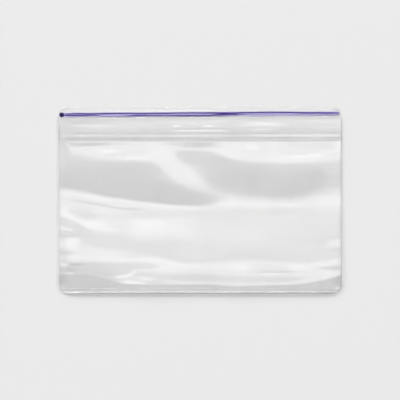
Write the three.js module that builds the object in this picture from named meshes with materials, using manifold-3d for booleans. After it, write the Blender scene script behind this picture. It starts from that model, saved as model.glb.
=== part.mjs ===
// Resealable bag of clear film, empty but for a little air, lying on its back with both zips closed.
// One web of film makes the pouch and, above it, a front and a back lip. A clear zip closes the pouch, and a
// violet zip runs along the top edge of the front lip. The back lip stands a little above it.
// Millimetres. +X runs along the zips, +Y from the bottom fold to the mouth, +Z up from the surface under the
// bag. The origin is the middle of the bag's outline, on that surface.
import * as THREE from "three";
import { mergeVertices } from "three/addons/utils/BufferGeometryUtils.js";
import Module from "manifold-3d";

const wasm = await Module();
wasm.setup();

// ---- Driving dimensions ----

const WIDTH = 180; // over the welded sides of the header
const HEIGHT = 118; // from the bottom fold to the back lip's edge
const HALF = WIDTH / 2;
const FOLD_Y = -HEIGHT / 2;
const BACK_LIP_Y = HEIGHT / 2;
const SLANT = 0.6; // the front lip's edge rises this far from its middle to its right end
const WALL = 0.3; // a lip's thickness here, where the real film has about 0.05
const GAP = 0.1; // between pieces that touch
const SEAM_T = 0.6; // thickness of the welded sides
const FOLD_T = 1.0; // thickness of the bottom fold
const SEAM_WIDTH = 1.5; // how far a weld reaches in from the side
const CORNER_R = 6.5; // bottom corners
const LIP_CORNER_R = 6; // top corners
const SIDE_PULL = 0.3; // how far the air draws each side of the pouch in

// Header: the lips and what they carry, by height above the middle
const POUCH_TOP_Y = 37; // lower edge of the lower zip
const LOWER_ZIP = { y: 39.9, base: 4.8, height: 1.2 };
const UPPER_ZIP = { y: 54.3, base: 2.4, height: 1.2 };
const FRONT_LIP_Y = UPPER_ZIP.y - UPPER_ZIP.base / 2 - GAP;
const ZIPPED_T = 2 * WALL + LOWER_ZIP.height + 2 * GAP; // both lips with a zip between them
const LIPS_T = 1.3; // both lips between the zips
const GRIP_RIBS_Y = [44.9, 46.8, 50]; // raised lines that help the fingers part the lips
const GRIP_RIB = { height: 0.35, base: 0.8, crest: 0.3 };
const LIP_CURL = { from: 56.4, rise: 0.6 }; // the back lip's edge lifts off the surface

// Pouch: the back panel lies flat, and the front panel rises from the seams over the air
const SEAM_LIFT = 1.0; // height of the sides and the fold above the surface
const LIFT_REACH = 6; // how far in from the edge the back panel comes down
const SLACK_T = 1.3; // where the pouch is flattest, both films and the air between them
const FOLD_REACH = 10; // how far in from the fold the films part fully
const SWELL_EDGE = { side: 6, zip: 3, fold: 5 }; // how near the edges the swells die out

// Swells of the front panel. Each follows a crest through [x, y] points, is `height` high and falls off by a
// bell curve of `above` and `below` towards the zip and the fold. It fades in at `start` and out at `end`.
const SWELLS = [
  { // the broad cushion over the fold, where most of the air lies
    crest: [[-95, -42], [-70, -43], [-40, -50], [0, -51], [60, -50], [95, -46]],
    height: 2.1, above: 23, below: 8, start: -140, end: 140, fade: 10,
  },
  { // below the zip, left
    crest: [[-95, 26], [-40, 25], [-20, 22]],
    height: 1.2, above: 9, below: 9, start: -140, end: -28, fade: 9,
  },
  { // the diagonal that runs down from it to the middle
    crest: [[-36, 25], [-24, 19], [-12, 10], [0, 5]],
    height: 1.95, above: 9, below: 8, start: -26, end: -3, fade: 8,
  },
  { // below the zip, right
    crest: [[-20, 30], [0, 28], [20, 26], [40, 24], [95, 22.5]],
    height: 1.3, above: 9, below: 8, start: -8, end: 140, fade: 14,
  },
  { // the long edge across the middle
    crest: [[-95, -1], [-60, -5], [-30, -9], [0, -10], [40, -8], [95, -8]],
    height: 0.3, above: 3, below: 10, start: -140, end: 140, fade: 10,
  },
  { // the tongue at the left
    crest: [[-95, -8], [-80, -13], [-68, -18], [-50, -22]],
    height: 0.4, above: 5, below: 8, start: -88, end: -52, fade: 8,
  },
];

const FILM = new THREE.MeshStandardMaterial({
  color: 0xdcdfe0, roughness: 0.12, metalness: 0, transparent: true, opacity: 0.35,
});
const CLEAR_ZIP = new THREE.MeshStandardMaterial({
  color: 0xd6d8da, roughness: 0.25, metalness: 0, transparent: true, opacity: 0.5,
});
const VIOLET_ZIP = new THREE.MeshStandardMaterial({ color: 0x5a45a8, roughness: 0.22, metalness: 0 });

// ---- Form of the film ----

// 0 below a, 1 above b, with a smooth step between them.
function smooth(a, b, x) {
  const t = THREE.MathUtils.clamp((x - a) / (b - a), 0, 1);
  return t * t * (3 - 2 * t);
}

// Rises from 0 at an edge to 1 at `reach` from it, steepest at the edge, as film does over air.
function rise(distance, reach, power = 2.2) {
  return 1 - (1 - THREE.MathUtils.clamp(distance / reach, 0, 1)) ** power;
}

// A smooth curve y(x) through points given in order of x.
function through(points, x) {
  const last = points.length - 1;
  const slope = (i) => {
    const [a, b] = [points[Math.max(i - 1, 0)], points[Math.min(i + 1, last)]];
    return (b[1] - a[1]) / (b[0] - a[0]);
  };
  let i = 0;
  while (i < last - 1 && x > points[i + 1][0]) i += 1;
  const [[x0, y0], [x1, y1]] = [points[i], points[i + 1]];
  const span = x1 - x0;
  const t = THREE.MathUtils.clamp((x - x0) / span, 0, 1);
  const bend = (1 - t) ** 2 * t * span * slope(i) - t * t * (1 - t) * span * slope(i + 1);
  return y0 + (y1 - y0) * t * t * (3 - 2 * t) + bend;
}

function swellHeight({ crest, height, above, below, start, end, fade }, x, y) {
  const t = y - through(crest, x);
  const shown = smooth(start - fade, start + fade, x) * (1 - smooth(end - fade, end + fade, x));
  return height * shown * Math.exp(-0.5 * (t / (t > 0 ? above : below)) ** 2);
}

// What a rounded corner of radius r takes off the half width, at `distance` from the end of the bag.
function cornerCut(distance, r) {
  const inside = THREE.MathUtils.clamp(r - distance, 0, r);
  return r - Math.sqrt(r * r - inside * inside);
}

function halfWidth(y) {
  const drawnIn = SIDE_PULL * (1 - smooth(POUCH_TOP_Y - 7, POUCH_TOP_Y, y));
  return HALF - drawnIn - cornerCut(y - FOLD_Y, CORNER_R) - cornerCut(BACK_LIP_Y - y, LIP_CORNER_R);
}

// Lower side of the back panel.
function underside(x, y) {
  const side = halfWidth(y) - Math.abs(x);
  const flat = rise(side, LIFT_REACH) * rise(y - FOLD_Y, LIFT_REACH);
  const inPouch = 1 - smooth(POUCH_TOP_Y - 8, POUCH_TOP_Y, y);
  const curl = LIP_CURL.rise * smooth(LIP_CURL.from, BACK_LIP_Y + 1, y);
  return SEAM_LIFT * (1 - flat) * inPouch + curl;
}

// Thickness of the closed header, by [y, thickness] from the pouch up: zip, lips with grip ribs, zip.
function headerRelief() {
  const zipTop = LOWER_ZIP.y + LOWER_ZIP.base / 2 + GAP;
  const ribs = GRIP_RIBS_Y.flatMap((y) => [
    [y - GRIP_RIB.base / 2, LIPS_T],
    [y - GRIP_RIB.crest / 2, LIPS_T + GRIP_RIB.height],
    [y + GRIP_RIB.crest / 2, LIPS_T + GRIP_RIB.height],
    [y + GRIP_RIB.base / 2, LIPS_T],
  ]);
  return [
    [POUCH_TOP_Y, ZIPPED_T], [zipTop, ZIPPED_T], [zipTop + 1, LIPS_T], ...ribs,
    [FRONT_LIP_Y - 1.2, LIPS_T], [FRONT_LIP_Y - 0.4, ZIPPED_T - WALL], [BACK_LIP_Y, ZIPPED_T - WALL],
  ];
}

const HEADER = headerRelief();

function headerThickness(y) {
  const i = Math.max(HEADER.findIndex(([at]) => at >= y), 1);
  const [[y0, t0], [y1, t1]] = [HEADER[i - 1], HEADER[i]];
  return THREE.MathUtils.lerp(t0, t1, THREE.MathUtils.clamp((y - y0) / (y1 - y0), 0, 1));
}

// Thickness of the pouch: the films at its edges, and the swells that the air makes.
function pouchThickness(x, y) {
  const side = halfWidth(y) - Math.abs(x);
  const [fromZip, fromFold] = [POUCH_TOP_Y - y, y - FOLD_Y];
  const swells = SWELLS.reduce((sum, swell) => sum + swellHeight(swell, x, y), 0)
    * rise(side, SWELL_EDGE.side) * rise(fromZip, SWELL_EDGE.zip) * rise(fromFold, SWELL_EDGE.fold);
  const opened = THREE.MathUtils.lerp(FOLD_T, SLACK_T, smooth(0, FOLD_REACH, fromFold));
  const films = THREE.MathUtils.lerp(ZIPPED_T, opened, rise(fromZip, SWELL_EDGE.zip));
  return SEAM_T + (films - SEAM_T) * rise(side, SEAM_WIDTH) + swells;
}

function topside(x, y) {
  const side = halfWidth(y) - Math.abs(x);
  const thickness = y < POUCH_TOP_Y
    ? pouchThickness(x, y)
    : SEAM_T + (headerThickness(y) - SEAM_T) * rise(side, SEAM_WIDTH);
  return underside(x, y) + thickness;
}

// The front lip and its zip run slightly uphill to the right, between a level zip and a level back lip.
function slanted(x, y) {
  const below = smooth(LOWER_ZIP.y + LOWER_ZIP.base, FRONT_LIP_Y, y);
  const above = 1 - smooth(LIP_CURL.from, BACK_LIP_Y, y);
  return y + SLANT * (x / HALF) * below * above;
}

// ---- Solids ----

function geometryOf(vertices, triangles) {
  return new THREE.BufferGeometry()
    .setAttribute("position", new THREE.Float32BufferAttribute(vertices, 3))
    .setIndex(triangles);
}

function toSolid(geometry) {
  const bare = geometry.clone();
  for (const name of ["normal", "uv"]) bare.deleteAttribute(name);
  const merged = mergeVertices(bare, 1e-4);
  return new wasm.Manifold(new wasm.Mesh({
    numProp: 3,
    vertProperties: merged.attributes.position.array,
    triVerts: new Uint32Array(merged.index.array),
  }));
}

function toGeometry(solid) {
  const { vertProperties, triVerts } = solid.getMesh();
  return geometryOf(Array.from(vertProperties), Array.from(triVerts));
}

// A closed solid between two height fields, over rows of constant y and columns across the bag. A column is
// a distance from the nearer side, with its sign telling the side, or 0 in the middle.
function sheetSolid(rows, columns, inset, top, bottom) {
  const vertices = [];
  for (const height of [top, bottom])
    for (const y of rows) {
      const reach = halfWidth(y) - inset;
      for (const column of columns) {
        const x = column * reach;
        vertices.push(x, slanted(x, y), height(x, y));
      }
    }
  const [across, layer] = [columns.length, rows.length * columns.length];
  const triangles = [];
  const quad = (a, b, c, d) => triangles.push(a, b, c, a, c, d);
  for (let i = 0; i < rows.length - 1; i += 1)
    for (let j = 0; j < across - 1; j += 1) {
      const a = i * across + j;
      quad(a, a + 1, a + across + 1, a + across);
      quad(layer + a, layer + a + across, layer + a + across + 1, layer + a + 1);
    }
  for (let j = 0; j < across - 1; j += 1) {
    const far = layer - across + j;
    quad(j + 1, j, layer + j, layer + j + 1);
    quad(far, far + 1, layer + far + 1, layer + far);
  }
  for (let i = 0; i < rows.length - 1; i += 1) {
    const [left, right] = [i * across, i * across + across - 1];
    quad(left, left + across, layer + left + across, layer + left);
    quad(right + across, right, layer + right, layer + right + across);
  }
  return toSolid(geometryOf(vertices, triangles));
}

function evenly(from, to, count) {
  return Array.from({ length: count }, (_, i) => from + ((to - from) * i) / (count - 1));
}

// Columns as shares of the half width: close together at the sides, where the film turns up.
function filmColumns() {
  const near = [0, SEAM_WIDTH / 2, SEAM_WIDTH, 4, 8, 13].map((d) => 1 - d / HALF);
  const middle = evenly(-1 + 19 / HALF, 1 - 19 / HALF, 23);
  return [...near.map((u) => -u), ...middle, ...near.reverse()];
}

function makeFilm() {
  const foldRows = [0, 0.4, 1.3, 2.8, 4.6].map((d) => FOLD_Y + d);
  const pouchRows = evenly(FOLD_Y + CORNER_R, POUCH_TOP_Y - 3, 29);
  const zipRows = [POUCH_TOP_Y - 1.6, POUCH_TOP_Y - 0.6];
  const headerRows = HEADER.slice(0, -1).map(([y]) => y);
  const lipRows = [UPPER_ZIP.y, LIP_CURL.from, ...[1.4, 0.5, 0].map((d) => BACK_LIP_Y - d)];
  const rows = [...foldRows, ...pouchRows, ...zipRows, ...headerRows, ...lipRows];
  const outer = sheetSolid(rows, filmColumns(), 0, topside, underside);

  // The room between the lips, where the zips lie. It opens into the cut above the front lip.
  const mouthRows = [POUCH_TOP_Y + 0.2, ...headerRows.slice(1), UPPER_ZIP.y];
  const cutColumns = evenly(-1, 1, 25);
  const underFrontLip = (x, y) => headerThickness(y) - WALL;
  const mouth = sheetSolid(mouthRows, cutColumns, SEAM_WIDTH, underFrontLip, () => WALL);

  // Above the front lip's edge there is only the back lip.
  const pastMouth = BACK_LIP_Y + 2;
  const overBackLip = (x, y) => underside(x, Math.min(y, BACK_LIP_Y)) + WALL;
  const openRows = [FRONT_LIP_Y, ...lipRows, pastMouth];
  const aboveFrontLip = sheetSolid(openRows, cutColumns, -1, () => 10, overBackLip);
  return toGeometry(outer.subtract(mouth).subtract(aboveFrontLip));
}

// ---- Zips ----

// Section of the channel half, a base with two hooked legs that point down, as [y, z] from the zip's middle.
function channelSection({ base, height }) {
  const [wall, hook, slot] = [0.3, 0.32, 0.6];
  const [leg, under, hookTop, tip] = [slot + 0.35, height - wall, 0.52, 0.4];
  const half = [
    [hook, tip], [leg, tip], [leg, under], [base / 2, under], [base / 2, height],
  ];
  const inner = [[slot, under], [slot, hookTop], [hook, hookTop]];
  const mirrored = (points) => points.map(([y, z]) => [-y, z]).reverse();
  return [...half, ...mirrored(half), ...mirrored(inner), ...inner];
}

// Section of the rib half, a base with an arrow head that points up into the channel.
function ribSection({ base }) {
  const [thick, stem, head, tip, neck, top] = [0.3, 0.2, 0.45, 0.25, 0.62, 0.8];
  const right = [[base / 2, 0], [base / 2, thick], [stem, thick], [stem, neck], [head, neck], [tip, top]];
  return [...right, ...right.map(([y, z]) => [-y, z]).reverse()];
}

// A solid of one section carried through stations [x, y, z] in order of x.
function rail(section, stations) {
  const vertices = stations.flatMap(([x, dy, dz]) => section.flatMap(([y, z]) => [x, y + dy, z + dz]));
  const [count, last] = [section.length, (stations.length - 1) * section.length];
  const triangles = [];
  for (let i = 0; i < last; i += count)
    for (let k = 0; k < count; k += 1) {
      const [a, b] = [i + k, i + ((k + 1) % count)];
      triangles.push(a, b, b + count, a, b + count, a + count);
    }
  const outline = section.map(([y, z]) => new THREE.Vector2(y, z));
  for (const [a, b, c] of THREE.ShapeUtils.triangulateShape(outline, []))
    triangles.push(c, b, a, last + a, last + b, last + c);
  return geometryOf(vertices, triangles);
}

function zipStations(zip, from, to, count, rest) {
  return evenly(from, to, count).map((x) => [x, slanted(x, zip.y), rest]);
}

// The side weld melts the end of a zip into a smooth nub.
function meltedEnd(x, zip, [length, width, height]) {
  const nub = new THREE.SphereGeometry(1, 14, 8);
  nub.scale(length / 2, width / 2, height / 2);
  nub.translate(x, slanted(x, zip.y), WALL + GAP + height / 2);
  return toSolid(nub);
}

function makeUpperChannel() {
  const reach = HALF - SEAM_WIDTH;
  const stations = zipStations(UPPER_ZIP, -reach, reach, 25, WALL + GAP);
  const channel = toSolid(rail(channelSection(UPPER_ZIP), stations));
  const left = meltedEnd(-reach, UPPER_ZIP, [3.0, 2.8, 1.5]);
  const right = meltedEnd(reach, UPPER_ZIP, [2.0, 2.2, 1.3]);
  return toGeometry(channel.add(left).add(right));
}

function makeUpperRib() {
  const reach = HALF - SEAM_WIDTH - 2; // clear of the melted ends
  return rail(ribSection(UPPER_ZIP), zipStations(UPPER_ZIP, -reach, reach, 25, WALL + GAP));
}

function makeLowerHalf(section) {
  const reach = HALF - SEAM_WIDTH - 0.5;
  return rail(section(LOWER_ZIP), zipStations(LOWER_ZIP, -reach, reach, 2, WALL + GAP));
}

function named(name, geometry, material) {
  geometry.computeVertexNormals();
  const mesh = new THREE.Mesh(geometry, material);
  mesh.name = name;
  return mesh;
}

const bag = new THREE.Group();
bag.add(
  named("film_bag", makeFilm(), FILM),
  named("upper_zip_channel", makeUpperChannel(), VIOLET_ZIP),
  named("upper_zip_rib", makeUpperRib(), VIOLET_ZIP),
  named("lower_zip_channel", makeLowerHalf(channelSection), CLEAR_ZIP),
  named("lower_zip_rib", makeLowerHalf(ribSection), CLEAR_ZIP),
);

export default bag;
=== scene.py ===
import math

import bpy
import mathutils
import numpy as np
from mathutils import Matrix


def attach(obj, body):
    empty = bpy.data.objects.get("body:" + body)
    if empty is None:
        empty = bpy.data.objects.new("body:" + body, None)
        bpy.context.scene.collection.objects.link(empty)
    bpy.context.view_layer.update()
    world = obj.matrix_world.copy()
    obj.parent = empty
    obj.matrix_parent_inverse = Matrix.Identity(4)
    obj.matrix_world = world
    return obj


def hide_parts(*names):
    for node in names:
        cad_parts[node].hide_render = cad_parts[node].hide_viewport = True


MM = 0.001

# ---- The bag's own sizes, as in its solids ----

HALF = 90.0  # half the width over the side welds
FOLD_Y = -59.5
BACK_LIP_Y = 59.0  # edge of the back film, behind the mouth
CORNER_R = 5.8  # at the fold's ends
LIP_CORNER_R = 6.0  # at the back lip's ends
SIDE_PULL = 0.3  # the pouch's sides are drawn in by this, and the header's aren't
SLANT = 0.6  # the front lip is this much further up at its right end than in the middle
POUCH_TOP_Y = 37.0  # lower edge of the clear zip, where the pouch ends and the header begins
LOWER_ZIP_Y = 39.9  # middle of the clear zip
FREE_LIP_Y = LOWER_ZIP_Y + 4.8  # from here up the film is free of the clear zip
UPPER_ZIP_Y = 54.3  # middle of the violet zip
FRONT_LIP_Y = 53.0  # edge of the front film, under the violet zip
ZIPPED_T = 1.8  # both lips with a zip between them
LIP_CURL_FROM = 56.4  # past this the back lip is free
LIP_CURL_RISE = 0.12
LIP_CURL_EASED = 0.3  # the free edge curls up less, by this share, left of the middle
LIP_CURL_EASES_X, LIP_CURL_BACK_X = (-70, -50), (0, 14)

# ---- What only the film itself has ----

FILM_T = 0.06
WELD_T = 0.14  # both films at the weld
TABLE_GAP = 0.08  # height of the back film where it lies flat
FOLD_Z = 1.5  # height of the fold's top, which stands up from the table
FOLD_END_Z = 0.85  # its height at its ends
FOLD_END = 16  # over this length it comes down to that
FOLD_T = 0.24  # both films at the fold
FOLD_TURN = 0.3  # the back film turns round to the front film over this depth
STRIP_Y = -57.05  # below this both films lie flat on each other, down to the fold
STRIP_TILT = 0.04  # slope of that strip along Y
BACK_DROP = 0.55  # above the strip the back film comes down to the table over about this length
LIP_DROP_Y = 52.5  # from here the front lip turns down to the violet zip
LIP_END_Z = 0.45
STREAK_Z = 1.7  # height of the front film along the long streak
END_LIFT = 0.82  # it's this much higher at its right end, so that the film clears the zip above it
END_LIFT_X = (73, 81)  # the lift comes in over this stretch
# where that streak runs, as (x, y) points
STREAK_Y = [(-90, 3), (-60, -2), (-30, -6), (0, -7), (20, -5), (60, -5), (90, -8)]
EASY_TILT = 0.03  # facets that rise no more than this keep their tilt

# ---- The side welds, each value for the left and the right one ----

WELD_Z = (0.95, 1.4)  # height in the pouch, beside film of ZIPPED_T
WELD_FOLLOWS = (0.25, 0.65)  # the share of the film's own swells that the weld follows
WELD_CORNER_Z = 0.8  # at the fold both come down towards this height,
WELD_CORNER_SHARE = 0.9  # by this share of the way,
WELD_CORNER_LENGTH = 12  # over this length
WELD_HEADER_Z = 0.9  # both have this height in the header
WELD_LIP_DROP = 0.5  # and come down by this towards the front lip
FRONT_REACH = (8, 5)  # how far in from the weld the front film comes to its own height
BACK_REACH = (7, 4)  # and the back film
FRONT_SHORTER, BACK_SHORTER = 0.6, 0.5  # in the header they come to it sooner, by this share
BESIDE_WELD = 6  # the film this far in from a weld counts as beside it, and has closer columns of points

PLATEAU_TILT = -0.03  # slope of the front film where no facet lies

# Facets of the front film, laid over each other in order. Each lies between a lower and an upper edge,
# which are curves through (x, y) points. The tilt is the film's slope along Y: above 0 it rises towards
# the mouth.
# (tilt, lower edge, upper edge, blur below, blur above, start, end, fade)
FACETS = [
    # broad belts and soft lights in the middle
    (-0.024, [(-90, -33), (-60, -31), (-30, -34), (0, -38), (90, -38)],
     [(-90, -22), (-60, -22), (-35, -26), (0, -28), (40, -28), (70, -24), (90, -20)], 3, 3, -120, 120, 5),
    (-0.055, [(-50, -22), (-38, -26), (-20, -24), (0, -23), (20, -22)],
     [(-50, -9), (-38, -11), (0, -11), (20, -12)], 2.5, 2, -46, -4, 7),
    (-0.034, [(0, -20), (25, -25), (50, -23), (70, -18)], [(0, -15), (25, -12), (50, -11), (70, -13)],
     4, 4, 6, 56, 9),
    (-0.13, [(-44, -19.4), (-25, -18.5)], [(-44, -12.3), (-25, -14)], 1.6, 1.6, -39, -25, 5),
    (-0.02, [(10, -10), (90, -11)], [(10, -6.5), (90, -8)], 1.2, 1.2, 20, 74, 8),
    # left end, between the long streak and the tongue
    (-0.05, [(-90, -12), (-80, -14), (-70, -19), (-60, -21), (-45, -20)], [(-90, 3), (-40, -7)],
     1, 1, -120, -46, 8),
    (-0.022, [(-84, -8), (-75, -11), (-66, -12)], [(-84, -3), (-75, -4.5), (-66, -9)],
     1.4, 1.4, -83, -66, 3),
    (-0.024, [(-76, -4.5), (-66, -7)], [(-76, 0), (-66, -1.6)], 0.8, 0.6, -76, -66, 3),
    # dull hollow under the tongue
    (-0.014, [(-90, -26), (-80, -24), (-65, -23)], [(-90, -9), (-80, -13.5), (-70, -19), (-62, -21)],
     2, 1, -120, -72, 9),
    (-0.12, [(-90, -18.9), (-80, -19.7)], [(-90, -17.6), (-80, -18.5)], 0.5, 0.5, -88, -81, 2),
    (-0.075, [(-90, -17.7), (-80, -18.2)], [(-90, -16.4), (-80, -17.2)], 0.5, 0.5, -92, -85, 2),
    # the tongue
    (-0.09, [(-90, -7.5), (-87, -10), (-80, -13), (-75, -15.5), (-70, -18.3), (-65, -20), (-52, -20.2)],
     [(-90, -1), (-87, -4), (-84, -8), (-80, -11), (-75, -12.5), (-70, -12.8), (-62, -14), (-58, -17.5),
      (-52, -18.5)], 0.5, 0.8, -89, -54, 3),
    (-0.16, [(-70, -16.5), (-62, -16)], [(-70, -14), (-62, -13.4)], 0.6, 0.6, -68, -63.5, 1.5),
    (-0.17, [(-62, -20.1), (-52, -19.8)], [(-62, -18.8), (-52, -18.6)], 0.4, 0.4, -61, -54, 2),
    # lower bright swell, left part
    (-0.1, [(-88, -28), (-83, -31), (-78, -33)], [(-88, -26), (-84, -24.5), (-78, -24), (-72, -25)],
     0.8, 1, -86, -77, 4),
    (-0.058, [(-84, -36), (-78, -38.4), (-62, -39.1), (-40, -39.4), (-25, -40)],
     [(-84, -31), (-76, -28.6), (-68, -29.2), (-60, -31), (-50, -32.6), (-40, -34), (-25, -35)],
     0.9, 1.2, -81, -50, 9),
    (-0.05, [(-60, -38.7), (-40, -39.3), (-25, -40)], [(-60, -31.6), (-50, -33), (-40, -34), (-25, -35)],
     0.9, 1.2, -54, -30, 6),
    (-0.075, [(-84, -37.5), (-76, -37.5)], [(-84, -35.4), (-76, -35)], 0.6, 0.6, -83, -77, 2),
    (0.01, [(-90, -35), (-80, -34.5)], [(-90, -32), (-80, -32.6)], 0.7, 0.7, -120, -81, 3),
    # dull ground at the lower left, getting dark towards the fold
    (0.01, [(-90, -60), (90, -60)], [(-90, -38), (-80, -39.6), (-60, -40.2), (-46, -40.6), (-36, -41),
      (-30, -44)], 1, 0.9, -120, -47, 9),
    (-0.012, [(-62, -48), (-44, -46)], [(-62, -41), (-44, -41.4)], 1.5, 0.8, -56, -38, 6),
    (-0.07, [(-90, -42), (-82, -42)], [(-90, -40.2), (-82, -40.4)], 0.6, 0.6, -120, -83, 2),
    (-0.08, [(-85, -47.8), (-80, -47.6)], [(-85, -46.3), (-80, -46.2)], 0.4, 0.4, -84.5, -81, 1),
    # lower bright swell, middle and right
    (-0.062, [(-30, -47), (0, -46.5), (20, -48), (40, -48), (60, -49), (75, -47), (90, -43)],
     [(-30, -42), (-10, -41), (0, -40), (20, -39.3), (40, -38.8), (60, -39.6), (75, -39.3), (90, -36.5)],
     1, 1.1, -26, 120, 6),
    (-0.085, [(-64, -38.6), (-50, -38.9), (-40, -39.1), (-30, -39.9), (-25, -42.5), (-18, -44.6),
      (-10, -44.2), (0, -42.6)],
     [(-64, -36.8), (-40, -37), (-30, -36.4), (-22, -37.6), (-15, -39.3), (-8, -41), (0, -41)],
     0.6, 0.6, -62, -2, 4),
    (-0.075, [(-5, -42.6), (8, -44.6), (20, -45.4), (32, -45)],
     [(-5, -41), (8, -41.6), (20, -40.6), (32, -40.6)], 1.0, 0.8, 2, 31, 5),
    (-0.16, [(18, -44.2), (31, -44.2)], [(18, -41), (31, -40.8)], 0.5, 0.5, 19.5, 30, 2),
    (-0.048, [(32, -46.4), (56, -46)], [(32, -43.4), (38, -42.6), (56, -43.4)], 1, 0.8, 36, 54, 4),
    (-0.15, [(55, -44), (70, -44)], [(55, -41.3), (70, -41.6)], 0.6, 0.7, 58, 68, 2.5),
    (0.004, [(36, -46.3), (62, -46)], [(36, -45.6), (62, -45.2)], 0.35, 0.35, 38, 60, 4),
    (-0.12, [(38, -47.6), (52, -47.4)], [(38, -46.7), (52, -46.6)], 0.35, 0.35, 39.5, 49, 2),
    (0.002, [(72, -44.6), (90, -45.2)], [(72, -42.8), (82, -42.2), (90, -41)], 0.7, 0.7, 76, 120, 4),
    (-0.09, [(66, -43), (80, -41.4), (90, -40)], [(66, -40.6), (80, -39.4), (90, -37.2)],
     0.6, 0.6, 72, 120, 4),
    (-0.08, [(76, -35), (82, -30.2), (90, -29.5)], [(76, -30), (82, -26.4), (90, -24.6)], 1, 1, 82, 120, 4),
    # under it, the dull belt and the lowest streak
    (-0.014, [(-45, -53.5), (0, -51.5), (40, -52), (60, -51), (70, -49.5)],
     [(-45, -44), (-30, -47.4), (0, -48), (20, -48.8), (40, -48.8), (60, -49.4), (70, -48.6)],
     1, 0.9, -46, 64, 5),
    (-0.058, [(60, -53), (66, -52), (75, -50.9), (82, -49.6), (90, -47.6)],
     [(60, -50), (66, -47.6), (75, -45.2), (82, -44.8), (90, -45.4)], 0.9, 0.9, 66, 120, 4),
    # the dark rise from the fold
    (0.2, [(-90, -60), (90, -60)], [(-90, -47.8), (-70, -48.4), (-62, -50.5), (-50, -54), (-36, -54.6),
      (-20, -54.6), (0, -54.6), (22, -55.4), (45, -55), (60, -54.4), (70, -53.4), (80, -51.4), (90, -48.4)],
     1, 1.2, -120, 120, 5),
    (-0.055, [(-26, -51.4), (-20, -52.4), (-10, -53.8), (0, -53.4), (10, -53.6), (22, -54.6), (45, -54),
      (60, -53.4), (70, -51.8), (80, -50.4)],
     [(-26, -50.2), (-20, -50.8), (-10, -51.8), (0, -51.8), (10, -51.8), (22, -53), (45, -52.6), (60, -51.8),
      (70, -50.2), (80, -49)], 0.5, 0.6, -22, 76, 5),
    (-0.2, [(-50, -52.7), (-36, -53)], [(-50, -51.5), (-36, -52)], 0.35, 0.35, -48.5, -36, 2),
    # folds gathered at the left weld
    (-0.1, [(-90, -28.3), (-84, -28.5)], [(-90, -27.3), (-84, -27.6)], 0.3, 0.3, -120, -85.5, 1),
    (-0.09, [(-85, -32.6), (-79, -32)], [(-85, -25.2), (-79, -24.6)], 0.6, 0.6, -83.6, -79.2, 0.9),
    (0.06, [(-84, -42), (-72, -41.6)], [(-84, -40.4), (-72, -40.2)], 0.5, 0.5, -83.5, -74, 2),
    (0.07, [(-84, -45.6), (-80, -45.4)], [(-84, -43), (-80, -43.2)], 0.4, 0.4, -84, -80, 0.8),
    # crinkles at the lower left
    (-0.085, [(-56, -50), (-50, -49.8), (-45, -49.2), (-42, -47.6), (-39, -44.6)],
     [(-56, -48.4), (-50, -47.8), (-45, -47), (-42, -44.4), (-39, -43.4)], 0.5, 0.5, -54, -40, 2),
    (-0.09, [(-40, -45), (-32, -45.3)], [(-40, -44.2), (-32, -44.2)], 0.35, 0.35, -38.5, -33, 1),
    (-0.11, [(-33, -45.6), (-22, -44)], [(-33, -44.4), (-22, -42.6)], 0.6, 0.6, -31, -23, 2),
    (-0.1, [(-41, -50.6), (-28, -50.4)], [(-41, -49.8), (-34, -49.4), (-28, -49.4)],
     0.35, 0.35, -38, -30, 2),
    (-0.045, [(-44, -49.4), (-28, -49.6)], [(-44, -48.4), (-28, -48.6)], 0.4, 0.4, -42, -31, 2),
    (-0.035, [(-52, -51.9), (-26, -51.8)], [(-52, -50.6), (-26, -50.8)], 0.5, 0.5, -50, -28, 3),
    # ---- above the long streak ----
    (-0.041, [(-90, -4), (-50, -5), (0, -7), (20, -5), (60, -5), (90, -8)], [(-90, 60), (90, 60)],
     1.2, 1, -120, 120, 5),
    (-0.02, [(-6, 0), (10, -1), (24, 0)], [(-6, 10), (10, 11), (24, 6)], 2, 2, 4, 20, 6),
    # the dark fields
    (0.024, [(-90, 8), (-60, 3), (-30, -1), (0, -4), (16, 0)],
     [(-90, 30), (-80, 29), (-70, 26.5), (-60, 25), (-34, 24.6), (-27, 22), (-22, 17), (-16, 12.4),
      (-8, 8.2), (2, 4.6), (10, 3), (16, 2.4)], 2, 3, -120, 12, 6),
    (0.085, [(-90, 8.8), (-80, 7.1), (-70, 5), (-60, 2.7), (-50, 1.5), (-40, -0.1), (-30, -1.3), (-20, -2.2),
      (-10, -2.9), (0, -3.0), (10, -1.4), (16, 0)],
     [(-90, 22), (-80, 22), (-60, 21), (-38, 20), (-30, 15), (-24, 10), (-15, 6.4), (-6, 3.6), (4, 1.4),
      (16, 0.8)], 0.9, 4.5, -120, 6, 8),
    (0.022, [(-20, 28.6), (-16, 26.8), (-12, 24.4), (-6, 20.6), (0, 15.4), (5, 10.4), (12, 6.2), (20, 3.3),
      (30, 1.4), (40, 0.9), (60, 0.8), (68, 2.3), (78, 4.9), (90, 7.9)],
     [(-20, 29), (-16, 30.4), (-10, 31.3), (0, 31.2), (8, 30), (14, 28), (20, 26), (30, 24.6), (40, 23.6),
      (60, 23.4), (75, 23.6), (90, 24)], 3.6, 1.5, -16, 120, 2.5),
    (0.07, [(0, 22), (8, 13), (14, 8.4), (20, 6.2), (30, 4.2), (40, 3.2), (60, 3.2), (68, 5), (76, 9),
      (84, 13)],
     [(0, 24), (8, 26), (16, 24.4), (24, 22), (36, 20), (50, 17.5), (64, 18), (76, 20), (84, 19)],
     3.2, 3, 6, 80, 8),
    # the right field's pale end
    (0.024, [(60, 10), (90, 8)], [(60, 26), (90, 26)], 3, 3, 80, 120, 14),
    # dull strip at the left end of the upper bright swell
    (0.03, [(-90, 27), (-80, 29)], [(-90, 38), (-80, 38)], 3, 2, -120, -83.5, 3),
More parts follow.
